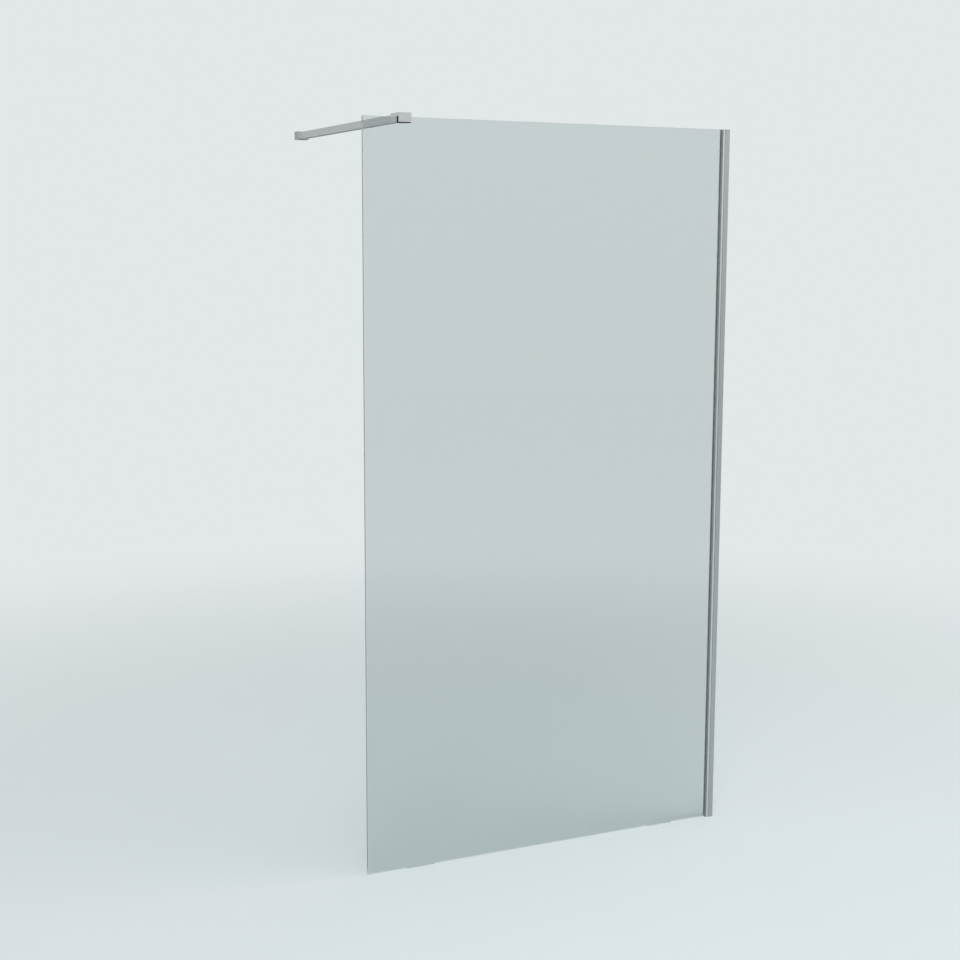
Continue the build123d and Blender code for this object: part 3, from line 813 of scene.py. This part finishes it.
@dataclass
class ThreadedScrews:
    """Socket grub screws with a real thread, in place of a node's plain ones.

    Attributes:
        node: The node that they stand for.
        name: The new piece's name.
        body: The body that they ride on.
        pointing: The direction from the screw's point to its socket.
        along: The direction of their row.
        count: How many there are.
        pitch: The pitch of the thread.
        thread_depth: The depth of the thread.
        key_radius: The corner radius of the hexagon socket.
        key_depth: The depth of the socket.
        point: The bevel of the screw's point.
        segments: The number of steps in one turn of the thread.
    """

    node: str
    name: str
    body: Body
    pointing: Axis
    along: Axis
    count: int
    pitch: float = 0.8 * MM
    thread_depth: float = 0.42 * MM
    key_radius: float = 1.44 * MM
    key_depth: float = 2.5 * MM
    point: float = 0.6 * MM
    segments: int = 30

    SPARE_TURNS: ClassVar[int] = 2
    MERGE: ClassVar[float] = 0.002 * MM

    def thread(self, shape: bmesh.types.BMesh, radius: float, length: float) -> None:
        """Winds the thread as one ribbon, a pitch high, and cuts it to the screw's length.

        Args:
            shape: The shape to build in.
            radius: The screw's outer radius.
            length: The screw's length.
        """
        root = radius - self.thread_depth
        ribbon = ((root, 0.0), (root, 0.12), (radius, 0.45), (radius, 0.57), (root, 0.90), (root, 1.0))
        spare = self.SPARE_TURNS
        corners = [shape.verts.new((r, 0, (share - spare) * self.pitch)) for r, share in ribbon]
        edges = [shape.edges.new(pair) for pair in zip(corners, corners[1:])]
        turns = math.ceil(length / self.pitch) + 2 * spare
        bmesh.ops.spin(
            shape,
            geom=corners + edges,
            cent=(0, 0, 0),
            axis=(0, 0, 1),
            dvec=(0, 0, self.pitch / self.segments),
            angle=math.tau * turns,
            steps=self.segments * turns,
            use_duplicate=False,
        )
        bmesh.ops.remove_doubles(shape, verts=shape.verts, dist=self.MERGE)
        self.cut(shape, 0.0, -1)
        self.cut(shape, length, 1)

    @staticmethod
    def cut(shape: bmesh.types.BMesh, height: float, side: int) -> None:
        """Cuts off all that lies past a height.

        Args:
            shape: The shape to cut.
            height: Where to cut it.
            side: One to cut off what is above, and minus one for what is below.
        """
        bmesh.ops.bisect_plane(
            shape,
            geom=shape.verts[:] + shape.edges[:] + shape.faces[:],
            plane_co=(0, 0, height),
            plane_no=(0, 0, side),
            clear_outer=True,
        )

    @staticmethod
    def open_edges(shape: bmesh.types.BMesh, height: float) -> list[bmesh.types.BMEdge]:
        """Returns the open edges at a height."""
        return [
            edge
            for edge in shape.edges
            if edge.is_boundary and all(abs(vert.co.z - height) < NEAR for vert in edge.verts)
        ]

    def screw(self, radius: float, length: float) -> bmesh.types.BMesh:
        """Builds one screw with its point at zero and its socket at the top.

        Args:
            radius: The screw's outer radius.
            length: The screw's length.

        Returns:
            The closed shape.
        """
        shape = bmesh.new()
        self.thread(shape, radius, length)
        rim = self.open_edges(shape, length)
        ring = bmesh.ops.create_circle(shape, cap_ends=False, radius=self.key_radius, segments=6)["verts"]
        bmesh.ops.translate(shape, verts=ring, vec=(0, 0, length))
        key = list(dict.fromkeys(edge for vert in ring for edge in vert.link_edges))
        bmesh.ops.bridge_loops(shape, edges=rim + key)
        walls = bmesh.ops.extrude_edge_only(shape, edges=key)["geom"]
        sunk = [item for item in walls if isinstance(item, bmesh.types.BMVert)]
        floor = [item for item in walls if isinstance(item, bmesh.types.BMEdge) and item.is_boundary]
        bmesh.ops.translate(shape, verts=sunk, vec=(0, 0, -self.key_depth))
        bmesh.ops.contextual_create(shape, geom=floor)
        tip = bmesh.ops.contextual_create(shape, geom=self.open_edges(shape, 0.0))["faces"]
        self.bevel_point(shape, tip, radius)
        return shape

    def bevel_point(self, shape: bmesh.types.BMesh, tip: list[bmesh.types.BMFace], radius: float) -> None:
        """Draws the first turns in to a cone towards the flat point.

        Args:
            shape: The screw.
            tip: The face of the flat point.
            radius: The screw's outer radius.
        """
        for vert in shape.verts:
            reach = math.hypot(vert.co.x, vert.co.y)
            most = radius - self.point + max(vert.co.z, 0.0)
            if reach > most:
                vert.co.xy = vert.co.xy * (most / reach)
        bmesh.ops.triangulate(shape, faces=tip)

    def build(self, paint: Paint) -> bpy.types.Object:
        """Builds and dresses all the node's screws as one piece.

        Args:
            paint: What dresses the piece.

        Returns:
            The piece.
        """
        places, radius, length = centres_in_row(self.node, self.pointing, self.along, self.count)
        screws = []
        for place in places:
            screw = self.screw(radius, length)
            bmesh.ops.transform(screw, matrix=turned(self.pointing, place), verts=screw.verts)
            screws.append(screw)
        piece = finished_piece(self.name, gathered(screws), self.body)
        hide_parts(self.node)
        paint.dress(piece, STAINLESS_STEEL)
        return piece


@dataclass
class SnapCaps:
    """Domed snap caps over the locking screws, in place of the node's bevelled ones.

    Attributes:
        crown: The radius of the round crown.
        wall: The thickness of the shell.
        rise: How much the middle of the cap stands over its shoulder.
        segments: The number of sides round the cap.
        node: The node that they stand for.
    """

    crown: float = 1.4 * MM
    wall: float = 0.7 * MM
    rise: float = 0.35 * MM
    segments: int = 56
    node: str = "screw_caps"

    COUNT: ClassVar[int] = 3
    CROWN_STEPS: ClassVar[int] = 6
    RING_INSET: ClassVar[float] = 0.55
    RING_LIMIT: ClassVar[float] = 0.6
    RING_RISE: ClassVar[float] = 0.72

    def cap(self, radius: float, height: float) -> bmesh.types.BMesh:
        """Builds one cap with its open side at zero.

        Args:
            radius: The cap's outer radius.
            height: The cap's height.

        Returns:
            The closed shell.
        """
        shape = bmesh.new()
        side = height - self.rise
        flat = radius - self.crown
        bmesh.ops.create_cone(
            shape, cap_ends=True, segments=self.segments, radius1=radius, radius2=radius, depth=side
        )
        bmesh.ops.translate(shape, verts=shape.verts, vec=(0, 0, side / 2))
        bottom = [face for face in shape.faces if face.normal.z < -0.9]
        bmesh.ops.delete(shape, geom=bottom, context="FACES_ONLY")
        shoulder = [edge for edge in shape.edges if all(abs(v.co.z - side) < NEAR for v in edge.verts)]
        bmesh.ops.bevel(
            shape,
            geom=shoulder,
            offset=self.crown,
            segments=self.CROWN_STEPS,
            profile=0.5,
            affect="EDGES",
            material=-1,
        )
        top = [face for face in shape.faces if face.normal.z > 0.999]
        inner = bmesh.ops.inset_individual(shape, faces=top, thickness=flat * self.RING_INSET)
        crown = bmesh.ops.poke(shape, faces=top)["verts"]
        bmesh.ops.translate(shape, verts=crown, vec=(0, 0, self.rise))
        ring = dict.fromkeys(vert for face in inner["faces"] for vert in face.verts)
        middle = [vert for vert in ring if math.hypot(vert.co.x, vert.co.y) < flat * self.RING_LIMIT]
        bmesh.ops.translate(shape, verts=middle, vec=(0, 0, self.rise * self.RING_RISE))
        bmesh.ops.recalc_face_normals(shape, faces=shape.faces)
        bmesh.ops.solidify(shape, geom=shape.faces[:], thickness=self.wall)
        return shape

    def build(self, paint: Paint) -> bpy.types.Object:
        """Builds and dresses the three caps as one piece.

        Args:
            paint: What dresses the piece.

        Returns:
            The piece.
        """
        places, radius, height = centres_in_row(self.node, Axis.Y, Axis.Z, self.COUNT)
        caps = []
        for place in places:
            cap = self.cap(radius, height)
            bmesh.ops.transform(cap, matrix=turned(Axis.Y, place), verts=cap.verts)
            caps.append(cap)
        piece = finished_piece("domed_screw_caps", gathered(caps), Body.WALL_CHANNEL)
        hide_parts(self.node)
        paint.dress(piece, GREY_PLASTIC)
        return piece


@dataclass
class WallProfile:
    """The two aluminium channels, their seals, packers, cap, and the locking screws with their caps."""

    wall_channel: str = "wall_profile"
    glazing_channel: str = "glazing_profile"
    dry_seal: str = "front_gasket"
    shower_seal: str = "rear_gasket"
    plastics: tuple[str, ...] = ("edge_packers", "cap_washers")
    caps: SnapCaps = field(default_factory=SnapCaps)

    def build(self, paint: Paint) -> None:
        """Dresses the profile's nodes and builds its snap caps.

        Args:
            paint: What dresses the pieces.
        """
        # The wall channel gets the darker copy of the aluminium, as painted shade.
        paint.dress_nodes((self.wall_channel,), SHADED_WALL_ALUMINIUM)
        paint.dress_nodes((self.glazing_channel,), GLAZING_ALUMINIUM)
        paint.dress_nodes((self.dry_seal,), SEAL_RUBBER)
        paint.dress_nodes((self.shower_seal,), CLEAR_SEAL)
        paint.dress_nodes(self.plastics, PACKER_PLASTIC)
        paint.dress_nodes(("channel_cap",), GREY_PLASTIC)
        paint.dress_nodes(("locking_screws",), STAINLESS_STEEL)
        self.caps.build(paint)


@dataclass
class GlassPanel:
    """The pane and the clear blocks that it stands on."""

    pane: str = "glass_panel"
    blocks: str = "setting_blocks"

    def build(self, paint: Paint) -> None:
        """Dresses the pane and its blocks.

        Args:
            paint: What dresses the pieces.
        """
        paint.dress_nodes((self.pane,), CLEAR_GLASS)
        paint.dress_nodes((self.blocks,), CLEAR_PLASTIC)


@dataclass
class Brace:
    """The clamp on the glass, the square bar and the bracket on the wall, with their screws."""

    clamp: str = "clamp_body"
    bracket: tuple[str, ...] = ("bracket_base", "bracket_socket")
    rubber: tuple[str, ...] = ("clamp_liner", "bracket_wall_pad")
    screws: tuple[ThreadedScrews, ...] = (
        ThreadedScrews("clamp_grub_screws", "clamp_pressure_screws", Body.BRACE, Axis.Y, Axis.X, 2),
        ThreadedScrews("clamp_bar_screw", "clamp_side_screw", Body.BRACE, Axis.X, Axis.Y, 1),
        ThreadedScrews("bracket_grub_screws", "bracket_side_screws", Body.HOUSING, Axis.X, Axis.Y, 2),
    )

    def build(self, paint: Paint) -> None:
        """Dresses the brace's nodes and builds its threaded screws.

        Args:
            paint: What dresses the pieces.
        """
        paint.dress_nodes((self.clamp,), CHROME_CLAMP)
        # The bracket gets the darker copy of the chrome, as painted shade.
        paint.dress_nodes(self.bracket, SHADED_CHROME_BRACKET)
        paint.dress_nodes(("brace_bar",), CHROME_BAR)
        paint.dress_nodes(self.rubber, LINER_RUBBER)
        paint.dress_nodes(("clamp_pressure_plate",), STAINLESS_STEEL)
        for screws in self.screws:
            screws.build(paint)


@dataclass(frozen=True)
class Patch:
    """A soft patch of the studio, as the rays that light the screen meet it.

    Attributes:
        towards: The direction of its middle.
        begins: The dot product with that direction at which it begins.
        full: The dot product at which it is full.
        outside: Its level outside.
        inside: Its level where it is full.
    """

    towards: tuple[float, float, float]
    begins: float
    full: float
    outside: float
    inside: float

    def level(self, tree: Tree, direction: bpy.types.NodeSocket) -> bpy.types.NodeSocket:
        """Returns the output that holds the patch's level in a direction."""
        facing = tree.vector_math("DOT_PRODUCT", direction, self.towards).outputs["Value"]
        return tree.step(facing, self.begins, self.full, self.outside, self.inside)


@dataclass(frozen=True)
class Lamp:
    """A large square lamp.

    Attributes:
        name: Its name.
        place: Where it stands.
        side: The length of its sides.
        watts: Its power.
    """

    name: str
    place: tuple[float, float, float]
    side: float
    watts: float

    def build(self, aim: Vector) -> None:
        """Adds the lamp.

        Args:
            aim: The place that it lights.
        """
        light = bpy.data.lights.new(self.name, "AREA")
        light.shape = "SQUARE"
        light.size = self.side
        light.energy = self.watts
        lamp = bpy.data.objects.new(self.name, light)
        lamp.location = self.place
        lamp.rotation_euler = (aim - Vector(self.place)).to_track_quat("-Z", "Y").to_euler()
        bpy.context.scene.collection.objects.link(lamp)


@dataclass
class Studio:
    """The pale floor, the pale surroundings, the soft lamps and the camera.

    Attributes:
        backdrop: The colour of the surroundings as they are seen.
        light_colour: The colour of the surroundings as they light the screen.
        floor_colour: The colour of the floor.
        floor_radius: The floor's radius.
        fade_from: The distance at which the floor starts to fade into the surroundings.
        fade_to: The distance at which it is one with them.
        middle: The place on the floor under the middle of the screen.
        floor_drop: How far the floor lies below the screen's lowest faces.
    """

    backdrop: Colour = (0.76, 0.80, 0.81)
    light_colour: Colour = (0.96, 0.985, 1.0)
    floor_colour: Colour = (0.755, 0.81, 0.82)
    floor_radius: float = 14.0
    fade_from: float = 1.2
    fade_to: float = 4.5
    middle: tuple[float, float, float] = (-0.55, 0.2, 0.0)
    floor_drop: float = 0.2 * MM

    FRONT: ClassVar[Patch] = Patch((0.45, -0.85, 0.28), -0.5, 0.9, 0.42, 0.97)
    ABOVE: ClassVar[Patch] = Patch((0.0, 0.0, 1.0), -0.35, 0.25, 0.55, 1.0)
    SHEET: ClassVar[Patch] = Patch((-0.38, 0.92, 0.08), 0.72, 0.95, 0.0, 0.36)
    DUSK: ClassVar[Patch] = Patch((0.38, 0.92, -0.12), 0.93, 0.99, 1.0, 0.3)
    LAMPS: ClassVar[tuple[Lamp, ...]] = (
        Lamp("front_lamp", (-2.6, -4.6, 4.2), side=3.2, watts=120.0),
        Lamp("side_lamp", (3.6, -1.6, 3.6), side=3.0, watts=45.0),
    )
    LAMP_AIM: ClassVar[Vector] = Vector((-0.6, 0.2, 0.8))
    CLOUDS: ClassVar[float] = 2.5
    CLOUD_SHADE: ClassVar[float] = 0.985
    FLOOR_ROUGHNESS: ClassVar[float] = 0.7
    FLOOR_SIDES: ClassVar[int] = 96

    CAMERA_PLACE: ClassVar[Vector] = Vector((-2.56883, -3.80891, 1.68166))
    CAMERA_RIGHT: ClassVar[Vector] = Vector((0.90381, -0.42795, 0.00346))
    CAMERA_UP: ClassVar[Vector] = Vector((0.05978, 0.13427, 0.98913))
    LENS_MM: ClassVar[float] = 59.572
    SENSOR_MM: ClassVar[float] = 36.0
    FARTHEST_SEEN: ClassVar[float] = 200.0

    def seen(self, tree: Tree) -> bpy.types.NodeSocket:
        """Returns one for the rays that look at the surroundings, straight or through glass."""
        rays = tree.node("ShaderNodeLightPath").outputs
        return tree.math("ADD", rays["Is Camera Ray"], rays["Is Transmission Ray"], clamp=True)

    def surroundings(self) -> None:
        """Builds the world: a plain pale backdrop, and a soft studio that lights the screen.

        The studio is brightest in front and above, with a pale sheet behind and to the left, and dusk
        behind and to the right, so that the front, the left side and the underside of a metal bar differ.
        """
        world = bpy.data.worlds.new("studio")
        bpy.context.scene.world = world
        world.use_nodes = True
        world.node_tree.nodes.clear()
        tree = Tree(world.node_tree)
        direction = tree.node("ShaderNodeTexCoord").outputs["Generated"]
        patches = (self.FRONT, self.ABOVE, self.SHEET, self.DUSK)
        front, above, sheet, dusk = (patch.level(tree, direction) for patch in patches)
        level = tree.math("MULTIPLY", tree.math("ADD", tree.math("MULTIPLY", front, above), sheet), dusk)
        studio = tree.node("ShaderNodeBackground")
        studio.inputs["Color"].default_value = opaque(self.light_colour)
        tree.feed(studio.inputs["Strength"], level)
        backdrop = tree.node("ShaderNodeBackground")
        backdrop.inputs["Color"].default_value = opaque(self.backdrop)
        choice = tree.node("ShaderNodeMixShader")
        tree.feed(choice.inputs["Fac"], self.seen(tree))
        tree.feed(choice.inputs[1], studio.outputs[0])
        tree.feed(choice.inputs[2], backdrop.outputs[0])
        output = tree.node("ShaderNodeOutputWorld")
        tree.feed(output.inputs["Surface"], choice.outputs[0])

    def floor_material(self) -> bpy.types.Material:
        """Returns the floor's material, which fades into the surroundings far from the screen."""
        material, tree, shader, output = new_material("studio_floor")
        place = tree.object_coordinates()
        cloud = tree.noise(place, self.CLOUDS, detail=3.0)
        shade = scaled(self.floor_colour, self.CLOUD_SHADE)
        tree.feed(shader.inputs["Base Color"], tree.mix(cloud, opaque(shade), opaque(self.floor_colour)))
        shader.inputs["Roughness"].default_value = self.FLOOR_ROUGHNESS
        away = tree.vector_math("DISTANCE", place, self.middle).outputs["Value"]
        far = tree.math("MULTIPLY", tree.step(away, self.fade_from, self.fade_to), self.seen(tree))
        glow = tree.node("ShaderNodeEmission")
        glow.inputs["Color"].default_value = opaque(self.backdrop)
        fade = tree.node("ShaderNodeMixShader")
        tree.feed(fade.inputs["Fac"], far)
        tree.feed(fade.inputs[1], shader.outputs[0])
        tree.feed(fade.inputs[2], glow.outputs[0])
        tree.feed(output.inputs["Surface"], fade.outputs[0])
        return material

    def floor(self) -> None:
        """Builds the floor as a wide disc just under the screen."""
        shape = bmesh.new()
        bmesh.ops.create_circle(
            shape, cap_ends=True, radius=self.floor_radius, segments=self.FLOOR_SIDES
        )
        bmesh.ops.translate(shape, verts=shape.verts, vec=(0, 0, -self.floor_drop))
        mesh = bpy.data.meshes.new("studio_floor")
        shape.to_mesh(mesh)
        shape.free()
        mesh.materials.append(self.floor_material())
        floor = bpy.data.objects.new("studio_floor", mesh)
        bpy.context.scene.collection.objects.link(floor)

    def camera(self) -> None:
        """Adds the camera where the photograph was taken from."""
        data = bpy.data.cameras.new("camera")
        data.lens = self.LENS_MM
        data.sensor_width = self.SENSOR_MM
        data.clip_end = self.FARTHEST_SEEN
        camera = bpy.data.objects.new("camera", data)
        back = self.CAMERA_RIGHT.cross(self.CAMERA_UP)
        turn = Matrix((self.CAMERA_RIGHT, self.CAMERA_UP, back)).transposed()
        camera.matrix_world = Matrix.Translation(self.CAMERA_PLACE) @ turn.to_4x4()
        bpy.context.scene.collection.objects.link(camera)
        bpy.context.scene.camera = camera

    def build(self) -> None:
        """Builds the whole studio."""
        self.surroundings()
        self.floor()
        for lamp in self.LAMPS:
            lamp.build(self.LAMP_AIM)
        self.camera()
        bpy.context.scene.view_settings.view_transform = "Standard"
        LOG.info("studio: floor, lamps and camera")


def main() -> None:
    """Builds the studio and the screen's sub-assemblies in order."""
    logging.basicConfig(level=logging.INFO, format="%(message)s")
    Studio().build()
    paint = Paint()
    WallProfile().build(paint)
    GlassPanel().build(paint)
    Brace().build(paint)


if __name__ == "__main__":
    main()
